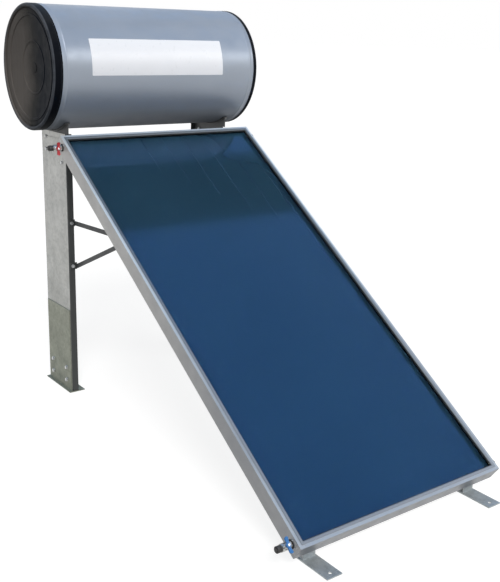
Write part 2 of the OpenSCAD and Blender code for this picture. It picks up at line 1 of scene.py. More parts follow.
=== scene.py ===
"""Looks of the thermosiphon solar water heater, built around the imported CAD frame.

Lengths are in metres and colours are linear."""

import json
import math

import bmesh
import bpy
from mathutils import Matrix, Vector


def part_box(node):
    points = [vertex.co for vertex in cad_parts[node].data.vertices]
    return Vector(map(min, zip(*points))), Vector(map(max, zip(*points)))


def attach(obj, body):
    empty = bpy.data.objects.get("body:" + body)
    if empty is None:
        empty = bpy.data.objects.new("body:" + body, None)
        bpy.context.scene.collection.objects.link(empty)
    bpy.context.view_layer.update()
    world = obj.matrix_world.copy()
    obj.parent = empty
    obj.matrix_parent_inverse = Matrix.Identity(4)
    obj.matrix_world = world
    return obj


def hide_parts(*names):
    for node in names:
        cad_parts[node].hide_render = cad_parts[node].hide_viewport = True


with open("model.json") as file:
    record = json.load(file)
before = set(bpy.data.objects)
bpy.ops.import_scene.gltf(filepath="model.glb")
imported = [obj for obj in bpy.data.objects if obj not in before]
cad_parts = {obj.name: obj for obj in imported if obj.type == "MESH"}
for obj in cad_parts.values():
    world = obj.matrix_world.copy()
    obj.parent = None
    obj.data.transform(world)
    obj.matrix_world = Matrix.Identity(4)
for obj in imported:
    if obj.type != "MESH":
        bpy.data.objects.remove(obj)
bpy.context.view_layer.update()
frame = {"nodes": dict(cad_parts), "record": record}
NODES = frame["nodes"]
ROOT = "heater"
TILT = math.radians(33.9)  # of the collector

# ---------------------------------------------------------------- places, from the CAD frame

inner_low, inner_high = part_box("inner_tank")
TANK_Y = (inner_low.y + inner_high.y) / 2
TANK_Z = (inner_low.z + inner_high.z) / 2
TANK_C = Vector((0, TANK_Y, TANK_Z))
TANK_R = 0.2775  # outer radius of the shell
HALF_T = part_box("tank_shell")[1].x  # half the length of the shell
HALF_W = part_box("frame_right")[1].x  # half the width of the collector
LENGTH = 2.094  # length of the collector, up the slope
DEPTH = 0.067  # depth of the collector casing
Y_LOW = -0.9625229  # low edge of the collector, on the glass side
LOW_H = 0.1045  # height of that edge over the ground
FIRST_WELD = 0.06  # from the side of the casing to the first riser tube
WELD_PITCH = (2 * HALF_W - 2 * FIRST_WELD) / 8  # from one riser tube to the next


def slope(x, s, n):
    """A point at x, distance s up the slope and height n over the glass side of the casing."""
    cs, sn = math.cos(TILT), math.sin(TILT)
    return Vector((x, Y_LOW + s * cs - n * sn, LOW_H + s * sn + n * cs))


# ---------------------------------------------------------------- node helpers


class Look:
    """One Principled material and short calls for its nodes."""

    def __init__(self, name, colour, rough=0.5, metal=0.0):
        self.mat = bpy.data.materials.new(name)
        self.mat.use_nodes = True
        self.nt = self.mat.node_tree
        self.bsdf = self.nt.nodes["Principled BSDF"]
        self.out = self.nt.nodes["Material Output"]
        self.set("Base Color", (*colour, 1.0))
        self.set("Roughness", rough)
        self.set("Metallic", metal)
        coords = self.nt.nodes.new("ShaderNodeTexCoord")
        self.object = coords.outputs["Object"]
        geometry = self.nt.nodes.new("ShaderNodeNewGeometry")
        self.normal = geometry.outputs["Normal"]

    def set(self, socket, value):
        self.bsdf.inputs[socket].default_value = value

    def link(self, output, socket):
        self.nt.links.new(output, self.bsdf.inputs[socket])

    def put(self, node, socket, value):
        if isinstance(value, bpy.types.NodeSocket):
            self.nt.links.new(value, node.inputs[socket])
        else:
            node.inputs[socket].default_value = value

    def mapped(self, scale, rotation=(0, 0, 0)):
        node = self.nt.nodes.new("ShaderNodeMapping")
        self.put(node, "Vector", self.object)
        node.inputs["Scale"].default_value = scale
        node.inputs["Rotation"].default_value = rotation
        return node.outputs["Vector"]

    def noise(self, scale, detail, rough=0.55, vector=None):
        node = self.nt.nodes.new("ShaderNodeTexNoise")
        self.put(node, "Vector", vector or self.object)
        node.inputs["Scale"].default_value = scale
        node.inputs["Detail"].default_value = detail
        node.inputs["Roughness"].default_value = rough
        return node.outputs["Fac"]

    def cells(self, scale):
        node = self.nt.nodes.new("ShaderNodeTexVoronoi")
        self.put(node, "Vector", self.object)
        node.inputs["Scale"].default_value = scale
        return node

    def math(self, op, a, b=0.5, clamp=False):
        node = self.nt.nodes.new("ShaderNodeMath")
        node.operation = op
        node.use_clamp = clamp
        self.put(node, 0, a)
        self.put(node, 1, b)
        return node.outputs[0]

    def axis(self, name, source=None):
        node = self.nt.nodes.new("ShaderNodeSeparateXYZ")
        self.put(node, 0, source or self.object)
        return node.outputs[name]

    def remap(self, value, low, high, to_low=0.0, to_high=1.0):
        node = self.nt.nodes.new("ShaderNodeMapRange")
        self.put(node, "Value", value)
        for name, number in (
            ("From Min", low),
            ("From Max", high),
            ("To Min", to_low),
            ("To Max", to_high),
        ):
            node.inputs[name].default_value = number
        return node.outputs["Result"]

    def mix(self, factor, a, b, blend="MIX"):
        node = self.nt.nodes.new("ShaderNodeMix")
        node.data_type = "RGBA"
        node.blend_type = blend
        for socket, value in (("Factor_Float", factor), ("A_Color", a), ("B_Color", b)):
            target = next(s for s in node.inputs if s.identifier == socket)
            if isinstance(value, bpy.types.NodeSocket):
                self.nt.links.new(value, target)
            elif isinstance(value, (tuple, list)):
                target.default_value = (*value[:3], 1.0)
            else:
                target.default_value = value
        return next(s for s in node.outputs if s.identifier == "Result_Color")

    def along_slope(self):
        """Distance up the slope and height over the glass side, from object coordinates."""
        cs, sn = math.cos(TILT), math.sin(TILT)
        y = self.math("SUBTRACT", self.axis("Y"), Y_LOW)
        z = self.math("SUBTRACT", self.axis("Z"), LOW_H)
        s = self.math("ADD", self.math("MULTIPLY", y, cs), self.math("MULTIPLY", z, sn))
        n = self.math("SUBTRACT", self.math("MULTIPLY", z, cs), self.math("MULTIPLY", y, sn))
        return s, n

    def between(self, value, low, high):
        above = self.math("GREATER_THAN", value, low)
        return self.math("MULTIPLY", above, self.math("LESS_THAN", value, high))

    def inside_casing(self):
        """1 within the walls of the casing, under its lip, and 0 on the outside."""
        s, n = self.along_slope()
        skin, lip = 0.0015, 0.0035
        mask = self.between(self.axis("X"), -HALF_W + skin, HALF_W - skin)
        mask = self.math("MULTIPLY", mask, self.between(n, -DEPTH + skin, -lip))
        return self.math("MULTIPLY", mask, self.between(s, skin, LENGTH - skin))

    def bump(self, height, distance, strength, normal=None):
        node = self.nt.nodes.new("ShaderNodeBump")
        node.inputs["Strength"].default_value = strength
        node.inputs["Distance"].default_value = distance
        self.put(node, "Height", height)
        if normal is not None:
            self.put(node, "Normal", normal)
        return node.outputs["Normal"]


def blotched(look, colour, spread, scale):
    """Base colour with soft patches, between shades that spread to both sides of it."""
    low = tuple(c * (1 - spread) for c in colour)
    high = tuple(min(1.0, c * (1 + spread)) for c in colour)
    return look.mix(look.remap(look.noise(scale, 5.0), 0.3, 0.7), low, high)


def scaled(colour, share):
    return tuple(c * share for c in colour)


# ---------------------------------------------------------------- materials


def galvanised(
    name, colour, rough=0.42, dirt=(0.16, 0.14, 0.11), dirt_top=0.35, dirt_share=0.45
):
    """Hot-dip zinc: crystal spangle, dull streaks, grime that grows towards the ground."""
    look = Look(name, colour, rough, 0.75)
    spangle = look.cells(85)
    tone = look.mix(0.5, spangle.outputs["Color"], (0.5, 0.5, 0.5))
    grey = look.remap(look.axis("X", tone), 0.25, 0.75, 0.86, 1.1)
    patches = blotched(look, colour, 0.12, 9)
    base = look.mix(1.0, patches, look.mix(grey, (0, 0, 0), (1, 1, 1)), "MULTIPLY")
    streak = look.noise(1.0, 6, 0.6, look.mapped((60, 60, 3.5)))
    streaks = look.remap(streak, 0.5, 0.8, 0.0, 0.35)
    base = look.mix(streaks, base, scaled(colour, 0.72))
    low = look.remap(look.axis("Z"), dirt_top, 0.0, 0.0, 1.0)
    dirty = look.math("MULTIPLY", low, look.remap(look.noise(14, 8, 0.7), 0.35, 0.7, 0.15, 1.0))
    base = look.mix(look.math("MULTIPLY", dirty, dirt_share), base, dirt)
    look.link(base, "Base Color")
    wear = look.remap(look.noise(35, 5), 0.3, 0.7, rough - 0.08, rough + 0.14)
    look.link(look.math("ADD", wear, look.math("MULTIPLY", dirty, 0.25), True), "Roughness")
    fine = look.bump(look.noise(380, 3), 0.00012, 0.6)
    look.link(look.bump(spangle.outputs["Distance"], 0.0002, 0.35, fine), "Normal")
    return look.mat


def mill_aluminium(name, colour, along, sky):
    """Extruded aluminium: die lines along the bar, oxide patches, and painted shade that makes the
    walls inside the casing black.

    The faces that look up get a painted sky reflection in the colour sky; the bars are darker
    towards the low end."""
    look = Look(name, colour, 0.4, 0.35)
    stretch = {"X": (1.5, 900, 900), "S": (900, 2, 900)}[along]
    lines = look.noise(1.0, 3, 0.6, look.mapped(stretch, (-TILT, 0, 0)))
    oxide = look.remap(look.noise(7, 7, 0.6), 0.4, 0.72)
    base = look.mix(oxide, colour, scaled(colour, 0.78))
    base = look.mix(look.remap(lines, 0.35, 0.7, 0.0, 0.25), base, scaled(colour, 0.6))
    # painted sky reflection: faces that look up take the colour sky, dimmed where the oxide is
    up = look.remap(look.axis("Z", look.normal), 0.6, 0.75)
    base = look.mix(up, base, look.mix(oxide, sky, scaled(sky, 0.85)))
    # darker towards the low end of the collector, in soft patches
    darkening = look.math("MULTIPLY", look.remap(look.along_slope()[0], 1.45, 0.6), 0.85)
    darkening = look.math("MULTIPLY", darkening, look.remap(look.noise(3, 6, 0.6), 0.2, 0.7, 0.55, 1.0))
    base = look.mix(darkening, base, (0.3, 0.31, 0.33))
    # painted shade: the walls inside the casing, under the lip, are made near black, dull and not
    # metallic
    inside = look.inside_casing()
    look.link(look.mix(inside, base, (0.012, 0.013, 0.014)), "Base Color")
    look.link(look.math("SUBTRACT", 0.35, look.math("MULTIPLY", inside, 0.35)), "Metallic")
    rough = look.remap(look.noise(22, 6), 0.3, 0.7, 0.34, 0.5)
    look.link(look.math("ADD", rough, look.math("MULTIPLY", inside, 0.4), True), "Roughness")
    look.link(look.bump(lines, 0.00008, 0.5), "Normal")
    return look.mat


def powder_coat(name, colour, rough, metal=0.0, under=0.0):
    """Satin powder coat: orange peel, slight tone drift, dust on top.

    Painted shade darkens the share under of the faces that look down."""
    look = Look(name, colour, rough, metal)
    base = blotched(look, colour, 0.045, 3.2)
    up = look.axis("Z", look.normal)
    dust = look.math(
        "MULTIPLY", look.remap(up, 0.35, 1.0), look.remap(look.noise(11, 8, 0.65), 0.35, 0.75)
    )
    base = look.mix(look.math("MULTIPLY", dust, 0.28), base, (0.5, 0.48, 0.45))
    # painted shade: faces that look down are darkened by the share under, and made rougher
    darkening = look.math("MULTIPLY", look.remap(up, -0.66, -0.96), under)
    base = look.mix(darkening, base, scaled(colour, 0.25))
    look.link(base, "Base Color")
    peel = look.noise(420, 2, 0.5)
    rougher = look.remap(look.noise(18, 5), 0.3, 0.7, rough - 0.05, rough + 0.07)
    rougher = look.math("ADD", rougher, look.math("MULTIPLY", darkening, 0.45))
    look.link(look.math("ADD", rougher, look.math("MULTIPLY", dust, 0.2), True), "Roughness")
    look.link(look.bump(peel, 0.00016, 0.5), "Normal")
    return look.mat


def moulded(name, colour, rough, grain=520, depth=0.00014, dust=0.12):
    """Injection moulded plastic: fine spark texture, scuffs and a film of dust."""
    look = Look(name, colour, rough)
    base = blotched(look, colour, 0.18, 6)
    up = look.remap(look.axis("Z", look.normal), 0.1, 1.0)
    film = look.math("MULTIPLY", up, look.remap(look.noise(9, 8, 0.7), 0.3, 0.75))
    base = look.mix(look.math("MULTIPLY", film, dust), base, (0.42, 0.4, 0.36))
    look.link(base, "Base Color")
    look.link(look.remap(look.noise(26, 6), 0.3, 0.7, rough - 0.08, rough + 0.1), "Roughness")
    look.link(look.bump(look.noise(grain, 3), depth, 0.55), "Normal")
    return look.mat


def cap_finish(name):
    """Black cap: brown towards the back as painted light, deep black at the front and on its side
    band as painted shade, a painted highlight on its rim.
    """
    look = Look(name, (0.03, 0.028, 0.027), 0.42)
    look.set("Specular IOR Level", 0.035)
    y = look.math("SUBTRACT", look.axis("Y"), TANK_Y)
    z = look.math("SUBTRACT", look.axis("Z"), TANK_Z)
    squares = look.math("ADD", look.math("MULTIPLY", y, y), look.math("MULTIPLY", z, z))
    radius = look.math("SQRT", squares)
    drift = look.math("MULTIPLY", look.math("SUBTRACT", look.noise(6, 6, 0.65), 0.5), 0.14)
    place = look.math("ADD", y, drift)
    # painted light and shade: brown towards the back, deep black towards the front, by place along
    # y
    deep, black, brown = (0.001, 0.003, 0.007), (0.032, 0.03, 0.028), (0.14, 0.127, 0.117)
    base = look.mix(look.remap(place, -0.09, 0.02), deep, black)
    lit_back = look.remap(place, -0.01, 0.1)
    base = look.mix(lit_back, base, brown)
    streak = look.remap(look.noise(1.0, 6, 0.65, look.mapped((40, 40, 2.5))), 0.45, 0.8)
    streak = look.math("MULTIPLY", look.math("MULTIPLY", streak, 0.35), lit_back)
    base = look.mix(streak, base, (0.07, 0.062, 0.056))
    rim_inside, rim_outside = look.remap(radius, 0.2615, 0.265), look.remap(radius, 0.2795, 0.2785)
    rim = look.math("MULTIPLY", rim_inside, rim_outside)
    # painted highlight: a bluish grey band along the rim
    rim_highlight = look.math("MULTIPLY", rim, look.remap(look.noise(12, 7, 0.7), 0.3, 0.6, 0.4, 1.0))
    base = look.mix(look.math("MULTIPLY", rim_highlight, 0.85), base, (0.11, 0.12, 0.14))
    # painted shade: faces that do not look along x, the cap's side band, go near black
    side = look.math("ABSOLUTE", look.axis("X", look.normal))
    base = look.mix(look.remap(side, 0.22, 0.08), base, (0.004, 0.005, 0.008))
    up = look.remap(look.axis("Z", look.normal), 0.3, 1.0)
    film = look.math("MULTIPLY", up, look.remap(look.noise(9, 8, 0.7), 0.3, 0.75))
    look.link(look.mix(look.math("MULTIPLY", film, 0.3), base, (0.12, 0.12, 0.115)), "Base Color")
    look.link(look.remap(look.noise(26, 6), 0.3, 0.7, 0.38, 0.54), "Roughness")
    look.link(look.bump(look.noise(460, 3), 0.00018, 0.55), "Normal")
    return look.mat


def rubber(name):
    """Matt black seal, a little greyer in places."""
    colour = (0.026, 0.026, 0.027)
    look = Look(name, colour, 0.72)
    look.link(blotched(look, colour, 0.25, 30), "Base Color")
    look.link(look.remap(look.noise(60, 4), 0.3, 0.7, 0.6, 0.85), "Roughness")
    look.link(look.bump(look.noise(700, 2), 0.0001, 0.5), "Normal")
    return look.mat


def zinc_bolt(name):
    """Bright zinc plate with white bloom in patches and turning marks."""
    bright, dull = (0.6, 0.61, 0.62), (0.42, 0.41, 0.38)
    look = Look(name, bright, 0.34, 0.85)
    bloom = look.remap(look.noise(95, 5, 0.6), 0.5, 0.75)
    look.link(look.mix(bloom, bright, dull), "Base Color")
    look.link(look.math("ADD", look.math("MULTIPLY", bloom, 0.3), 0.28), "Roughness")
    look.link(look.bump(look.noise(900, 2), 0.00005, 0.5), "Normal")
    return look.mat


def cast_metal(name, colour, rough=0.34, metal=0.9):
    """Machined or cast metal with tarnish in patches."""
    look = Look(name, colour, rough, metal)
    tarnish = look.remap(look.noise(60, 6, 0.65), 0.45, 0.75)
    look.link(look.mix(tarnish, colour, scaled(colour, 0.55)), "Base Color")
    look.link(look.remap(look.noise(85, 4), 0.3, 0.7, rough - 0.06, rough + 0.16), "Roughness")
    look.link(look.bump(look.noise(650, 3), 0.00008, 0.5), "Normal")
    return look.mat


def copper_tube(name):
    """Bright copper that has gone brown in places."""
    bright, brown = (0.72, 0.36, 0.21), (0.3, 0.14, 0.08)
    look = Look(name, bright, 0.3, 0.95)
    aged = look.remap(look.noise(25, 6, 0.6), 0.4, 0.75)
    look.link(look.mix(aged, bright, brown), "Base Color")
    look.link(look.remap(aged, 0.0, 1.0, 0.25, 0.5), "Roughness")
    return look.mat


def absorber(name):
    """Selective coating: dark film with a blue sheen and faint weld lines over the risers."""
    look = Look(name, (0.0095, 0.024, 0.039), 0.07, 0.0)
    look.set("IOR", 2.0)
    look.set("Specular Tint", (0.0, 0.134, 0.58, 1.0))
    drift = look.remap(look.noise(2.2, 3), 0.3, 0.7)
    base = look.mix(drift, (0.009, 0.0228, 0.037), (0.01, 0.0252, 0.041))
    start = HALF_W - FIRST_WELD + 10 * WELD_PITCH
    across = look.math("PINGPONG", look.math("ADD", look.axis("X"), start), WELD_PITCH / 2)
    weld = look.remap(across, 0.0018, 0.0006)
    base = look.mix(look.math("MULTIPLY", weld, 0.3), base, (0.005, 0.012, 0.02))
    look.link(base, "Base Color")
    look.link(look.math("ADD", look.math("MULTIPLY", weld, 0.2), 0.07), "Roughness")
    wave = look.noise(5, 2, 0.5, look.mapped((1.6, 0.5, 0.5)))
    look.link(look.bump(wave, 0.0002, 0.15), "Normal")
    return look.mat


def solar_glass(name):
    """Low-iron glass with an anti-reflection face. Light passes it with no shadow."""
    look = Look(name, (0.93, 0.97, 0.96), 0.015)
    look.set("Transmission Weight", 1.0)
    look.set("IOR", 1.05)
    clear = look.nt.nodes.new("ShaderNodeBsdfTransparent")
    clear.inputs["Color"].default_value = (0.93, 0.96, 0.96, 1)
    light = look.nt.nodes.new("ShaderNodeLightPath")
    mixer = look.nt.nodes.new("ShaderNodeMixShader")
    look.nt.links.new(light.outputs["Is Shadow Ray"], mixer.inputs[0])
    look.nt.links.new(look.bsdf.outputs[0], mixer.inputs[1])
    look.nt.links.new(clear.outputs[0], mixer.inputs[2])
    look.nt.links.new(mixer.outputs[0], look.out.inputs["Surface"])
    return look.mat


def wool(name, colour):
    """Rough filling, with painted shade in the hollows between its fibres or cells."""
    look = Look(name, colour, 0.95)
    fibre = look.noise(160, 8, 0.7, look.mapped((1, 3, 1)))
    # painted shade: darker where the bump is low
    look.link(look.mix(look.remap(fibre, 0.3, 0.7), scaled(colour, 0.6), colour), "Base Color")
    look.link(look.bump(fibre, 0.0012, 0.8), "Normal")
    return look.mat


def label_finish(name):
    """Blank plate: one near-white, with a faint gloss."""
    colour = (0.92, 0.94, 0.99)
    look = Look(name, colour, 0.3)
    look.link(blotched(look, colour, 0.01, 14), "Base Color")
    look.link(look.remap(look.noise(40, 4), 0.3, 0.7, 0.25, 0.38), "Roughness")
    look.link(look.bump(look.noise(30, 2), 0.0002, 0.2), "Normal")
    return look.mat


FINISHES = {
    "casing_side": mill_aluminium("casing_side", (0.56, 0.555, 0.545), "S", (0.67, 0.73, 0.78)),
    # the end bars: a darker copy of the side bars' aluminium, as painted shade
    "casing_end_shaded": mill_aluminium("casing_end_shaded", (0.34, 0.345, 0.355), "X", (0.54, 0.62, 0.7)),
    "casing_bead": mill_aluminium("casing_bead", (0.17, 0.19, 0.21), "S", (0.16, 0.19, 0.22)),
    "solar_glass": solar_glass("solar_glass"),
    "black_rubber": rubber("black_rubber"),
    "blue_absorber": absorber("blue_absorber"),
    "copper": copper_tube("copper"),
    "mineral_wool": wool("mineral_wool", (0.62, 0.52, 0.26)),
    "back_sheet": galvanised("back_sheet", (0.58, 0.59, 0.6), 0.4, dirt_share=0.2),
    "black_plastic": moulded("black_plastic", (0.035, 0.033, 0.032), 0.5),
    "cap_plastic": cap_finish("cap_plastic"),
    # the tank's underside gets painted shade, under=0.95
    "tank_paint": powder_coat("tank_paint", (0.345, 0.387, 0.452), 0.34, 0.25, under=0.95),
    "enamel_steel": powder_coat("enamel_steel", (0.1, 0.13, 0.2), 0.3),
    "foam": wool("foam", (0.85, 0.75, 0.45)),
    "label_white": label_finish("label_white"),
    "zinc": zinc_bolt("zinc"),
    "brass": cast_metal("brass", (0.72, 0.55, 0.25)),
    "anode_metal": cast_metal("anode_metal", (0.6, 0.6, 0.6)),
    "galvanised": galvanised(
        "galvanised", (0.49, 0.49, 0.47), dirt=(0.2, 0.2, 0.14), dirt_top=0.9
    ),
    "foot_steel": galvanised("foot_steel", (0.3, 0.31, 0.25), 0.5, (0.17, 0.18, 0.15), 0.42),
    "front_foot": galvanised("front_foot", (0.46, 0.49, 0.5), 0.45, (0.3, 0.31, 0.29), 0.12),
    "dark_steel": powder_coat("dark_steel", (0.045, 0.048, 0.048), 0.45),
    "nickel_brass": cast_metal("nickel_brass", (0.6, 0.6, 0.58)),
    "chrome_ball": cast_metal("chrome_ball", (0.8, 0.8, 0.8), 0.12, 1.0),
    "red_plastic": moulded("red_plastic", (0.5, 0.03, 0.04), 0.38, 500, 0.0001, 0.06),
    "blue_plastic": moulded("blue_plastic", (0.03, 0.17, 0.45), 0.38, 500, 0.0001, 0.06),
}
SLOTS = {row["node"]: row["material_slot"] for row in frame["record"]["subparts"]}


def finish_of(node):
    """The finish of a CAD node: its record slot, or a variant of it."""
    if SLOTS[node] == "casing":
        return "casing_side" if node in ("frame_left", "frame_right") else "casing_end_shaded"
    if node.startswith("end_cap"):
        return "cap_plastic"
    if node.startswith("front_foot"):
        return "front_foot"
    return SLOTS[node]


for name, obj in NODES.items():
    obj.data.materials.clear()
    obj.data.materials.append(FINISHES[finish_of(name)])

# ---------------------------------------------------------------- pieces

SOFT_PAIRS = {  # round on the edges of a left and a right node
    "frame": 0.0008,
    "leg_web": 0.0006,
    "leg_flanges": 0.0006,
    "rear_foot": 0.0008,
    "front_foot": 0.0008,
    "strut_upper": 0.0007,
    "strut_lower": 0.0007,
    "saddle": 0.0008,
}
SOFT_SINGLES = {
    "service_cover": 0.001,
    "hot_valve_plug": 0.0009,
    "cold_valve_plug": 0.0009,
    "header_plugs": 0.0009,
    "port_plugs": 0.0012,
}


def new_piece(name, bm, finish, body=ROOT, smooth=True, replaces=None):
    """Turn a bmesh into a piece that rides on a body, with its finish."""
    mesh = bpy.data.meshes.new(name)
    bmesh.ops.recalc_face_normals(bm, faces=bm.faces)
    bm.to_mesh(mesh)
    bm.free()
    for face in mesh.polygons:
        face.use_smooth = smooth
    obj = bpy.data.objects.new(name, mesh)
    bpy.context.scene.collection.objects.link(obj)
    obj.data.materials.append(FINISHES[finish])
    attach(obj, body)
    if replaces:
        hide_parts(replaces)
    return obj


def sharp_over(obj, degrees):
    obj.data.set_sharp_from_angle(angle=math.radians(degrees))


def soften(obj, width):
    """Rounded edges that catch the light."""
    weld = obj.modifiers.new("weld", "WELD")
    weld.merge_threshold = 0.00001
    bevel = obj.modifiers.new("bevel", "BEVEL")
    bevel.width = width
    bevel.segments = 2
    bevel.limit_method = "ANGLE"
    bevel.angle_limit = math.radians(35)
    bevel.harden_normals = False


def skin_faces(bm, rings, closed):
    """Quads between rings of points, each ring joined to the next, and to the first if closed."""
    following = rings[1:] + rings[:1] if closed else rings[1:]
    for a, b in zip(rings, following):
        for j in range(len(a)):
            k = (j + 1) % len(a)
            bm.faces.new((a[j], a[k], b[k], b[j]))
    if not closed:
        bm.faces.new(rings[0])
        bm.faces.new(rings[-1])


def grid_faces(bm, rows):
    """Quads between rows of points that do not close on themselves."""
    for a, b in zip(rows, rows[1:]):
        for j in range(len(a) - 1):
            bm.faces.new((a[j], a[j + 1], b[j + 1], b[j]))


def lathe(profile):
    """Closed ring of the profile, (x, radius) pairs, turned about the tank axis."""
    steps = 240
    bm = bmesh.new()
    rings = []
    for i in range(steps):
        a = 2 * math.pi * i / steps
        c, s = math.cos(a), math.sin(a)
        rings.append([bm.verts.new((x, TANK_Y + r * c, TANK_Z + r * s)) for x, r in profile])
    skin_faces(bm, rings, closed=True)
    return bm


def tube(bm, points, radii, sides):
    """Round bar along a list of points, with a radius for each."""
    rings = []
    for i, p in enumerate(points):
        ahead = (points[min(i + 1, len(points) - 1)] - points[max(i - 1, 0)]).normalized()
        side = ahead.cross(Vector((0.3, 0.2, 0.93))).normalized()  # any way that is off the bar
        other = ahead.cross(side)
        ring = []
        for k in range(sides):
            t = 2 * math.pi * k / sides
            across = side * (radii[i] * math.cos(t)) + other * (radii[i] * math.sin(t))
            ring.append(bm.verts.new(p + across))
        rings.append(ring)
    skin_faces(bm, rings, closed=False)


def arc(cx, cr, radius, start, end, steps):
    """Points of a circle in (x, radius) from angle start to end, degrees, 0 along +x."""
    out = []
    for i in range(steps + 1):
        a = math.radians(start + (end - start) * i / steps)
        out.append((cx + radius * math.cos(a), cr + radius * math.sin(a)))
    return out


def make_shell():
    """Rolled sheet with a pressed bead near each end."""
    bead, half, rise, sheet = HALF_T - 0.033, 0.006, 0.0016, 0.0012
    outer = [(-HALF_T, TANK_R)]
    for sign in (-1, 1):
        outer.append((sign * bead - half, TANK_R))
        for t in (-0.66, -0.33, 0, 0.33, 0.66):
            outer.append((sign * bead + half * t, TANK_R + rise * math.cos(t * math.pi / 2)))
        outer.append((sign * bead + half, TANK_R))
    outer += [(HALF_T, TANK_R), (HALF_T, TANK_R - sheet), (-HALF_T, TANK_R - sheet)]
    shell = new_piece("tank_skin", lathe(outer), "tank_paint", replaces="tank_shell")
    sharp_over(shell, 50)


def make_lap_seam():
    """Overlap of the shell's sheet, low at the back: a flat strip from end to end."""
    lap, end, steps = 0.0009, HALF_T - 0.01, 40
    edge = ((-60.6, 0.0), (-60.5, lap), (-57.0, lap), (-56.9, 0.0))  # degrees from the back, lift
    bm = bmesh.new()
    rows = []
    for i in range(steps + 1):
        x = -end + 2 * end * i / steps
        row = []
        for degrees, lift in edge:
            a, r = math.radians(degrees), TANK_R + lift
            row.append(bm.verts.new((x, TANK_Y + r * math.cos(a), TANK_Z + r * math.sin(a))))
        rows.append(row)
    skin_faces(bm, rows, closed=False)
    new_piece("tank_lap_seam", bm, "tank_paint", smooth=False)


def cap_profile(out):
    """Half section of a cap that stands out from the shell: skirt, rim, ridged dish, boss.

    Points are (distance past the end of the shell, radius)."""
    rim, skin, low = 0.010, 0.003, 0.004
    top_r = TANK_R + 0.002
    cx, cr = out - rim, top_r - rim
    groove = top_r - 0.0007
    points = [(-0.0100, TANK_R + 0.0003), (-0.0100, top_r - 0.0006), (-0.0094, top_r)]
    points += [(-0.004, top_r), (-0.0032, groove), (-0.0016, groove), (-0.0008, top_r)]
    points += arc(cx, cr, rim, 90, -90, 14)
    edge = cr - rim
    sag = cx + low - 0.001
    dish = (edge * edge + sag * sag) / (2 * sag)

    def floor(r):
        return -low + skin + dish - math.sqrt(dish * dish - r * r)

    ridge, ring, boss, pin = 0.0026, 0.0018, 0.0022, 0.0008
    for r in (edge - 0.003, edge - 0.022):
        points.append((floor(r), r))
    for r in (edge - 0.024, edge - 0.034):
        points.append((floor(r) + ridge, r))
    for r in (edge - 0.036, 0.205, 0.18, 0.15, 0.122):
        points.append((floor(r), r))
    for r in (0.12, 0.112):
        points.append((floor(r) + ring, r))
    for r in (0.11, 0.08, 0.05, 0.024):
        points.append((floor(r), r))
    for r in (0.0225, pin):
        points.append((floor(r) + boss, r))
    points.append((-low, pin))
    for r in (0.05, 0.1, 0.15, 0.2, edge + 0.001):
        points.append((floor(r) - skin + 0.0004, r))
    points.append((cx, edge + 0.0034))
    points += arc(cx, cr, rim - skin, -90, 90, 10)
    points += [(0.0006, cr + rim - skin), (0.0006, TANK_R + 0.0003)]
    return points


def make_caps():
    for name, sign in (("end_cap_left", -1), ("end_cap_right", 1)):
        low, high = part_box(name)
        out = (high.x if sign > 0 else -low.x) - HALF_T
        profile = [(sign * (HALF_T + x), r) for x, r in cap_profile(out)]
        cap = new_piece(name + "_moulding", lathe(profile), "cap_plastic", replaces=name)
        sharp_over(cap, 40)


def make_label():
    """Blank plate that follows the shell, with round corners and a thin edge."""
    low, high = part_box("label_plate")
    start, end = math.radians(-4.5), math.radians(29)  # up from the front of the tank
    gap, thick, corner = 0.00005, 0.0008, 0.004
    columns, rows = 40, 24
    ease = [corner * (1 - math.cos(math.radians(t))) for t in range(0, 91, 15)]
    xs = [low.x + e for e in ease]
    xs += [low.x + (high.x - low.x) * i / columns for i in range(1, columns)]
    xs += [high.x - e for e in reversed(ease)]
    bm = bmesh.new()
    grids = []
    for radius in (TANK_R + gap, TANK_R + thick):
        grid = []
        for x in xs:
            d = min(x - low.x, high.x - x, corner)
            inset = (corner - math.sqrt(max(0.0, corner**2 - (corner - d) ** 2))) / TANK_R
            column = []
            for j in range(rows + 1):
                a = start + inset + (end - start - 2 * inset) * j / rows
                y, z = TANK_Y - radius * math.cos(a), TANK_Z + radius * math.sin(a)
                column.append(bm.verts.new((x, y, z)))
            grid.append(column)
        grids.append(grid)
    under, over = grids
    grid_faces(bm, under)
    grid_faces(bm, over)
    for j in (0, rows):
        grid_faces(bm, [[column[j] for column in under], [column[j] for column in over]])
    for i in (0, -1):
        grid_faces(bm, [under[i], over[i]])
    label = new_piece("label_blank", bm, "label_white", replaces="label_plate")
    sharp_over(label, 50)


def make_glazing_bead():
    """Mitred bead that presses the glass down, on the inner half of the casing's lip."""
    margin = 0.0125  # from the outside of the casing to the bead
    section = (  # inward from there, height over the lip
        (0.0, 0.0003),
        (0.0, 0.0018),
        (0.0006, 0.0024),
        (0.0085, 0.0024),
        (0.0105, 0.0014),
        (0.012, -0.0008),
        (0.012, -0.0019),
        (0.0105, 0.0003),
    )
    bm = bmesh.new()
    rings = []
    for side, top in ((-1, False), (1, False), (1, True), (-1, True)):
        ring = []
        for inward, height in section:
            s = LENGTH - margin - inward if top else margin + inward
            ring.append(bm.verts.new(slope(side * (HALF_W - margin - inward), s, height)))
        rings.append(ring)
    skin_faces(bm, rings, closed=True)
    new_piece("glazing_bead", bm, "casing_bead", smooth=False)


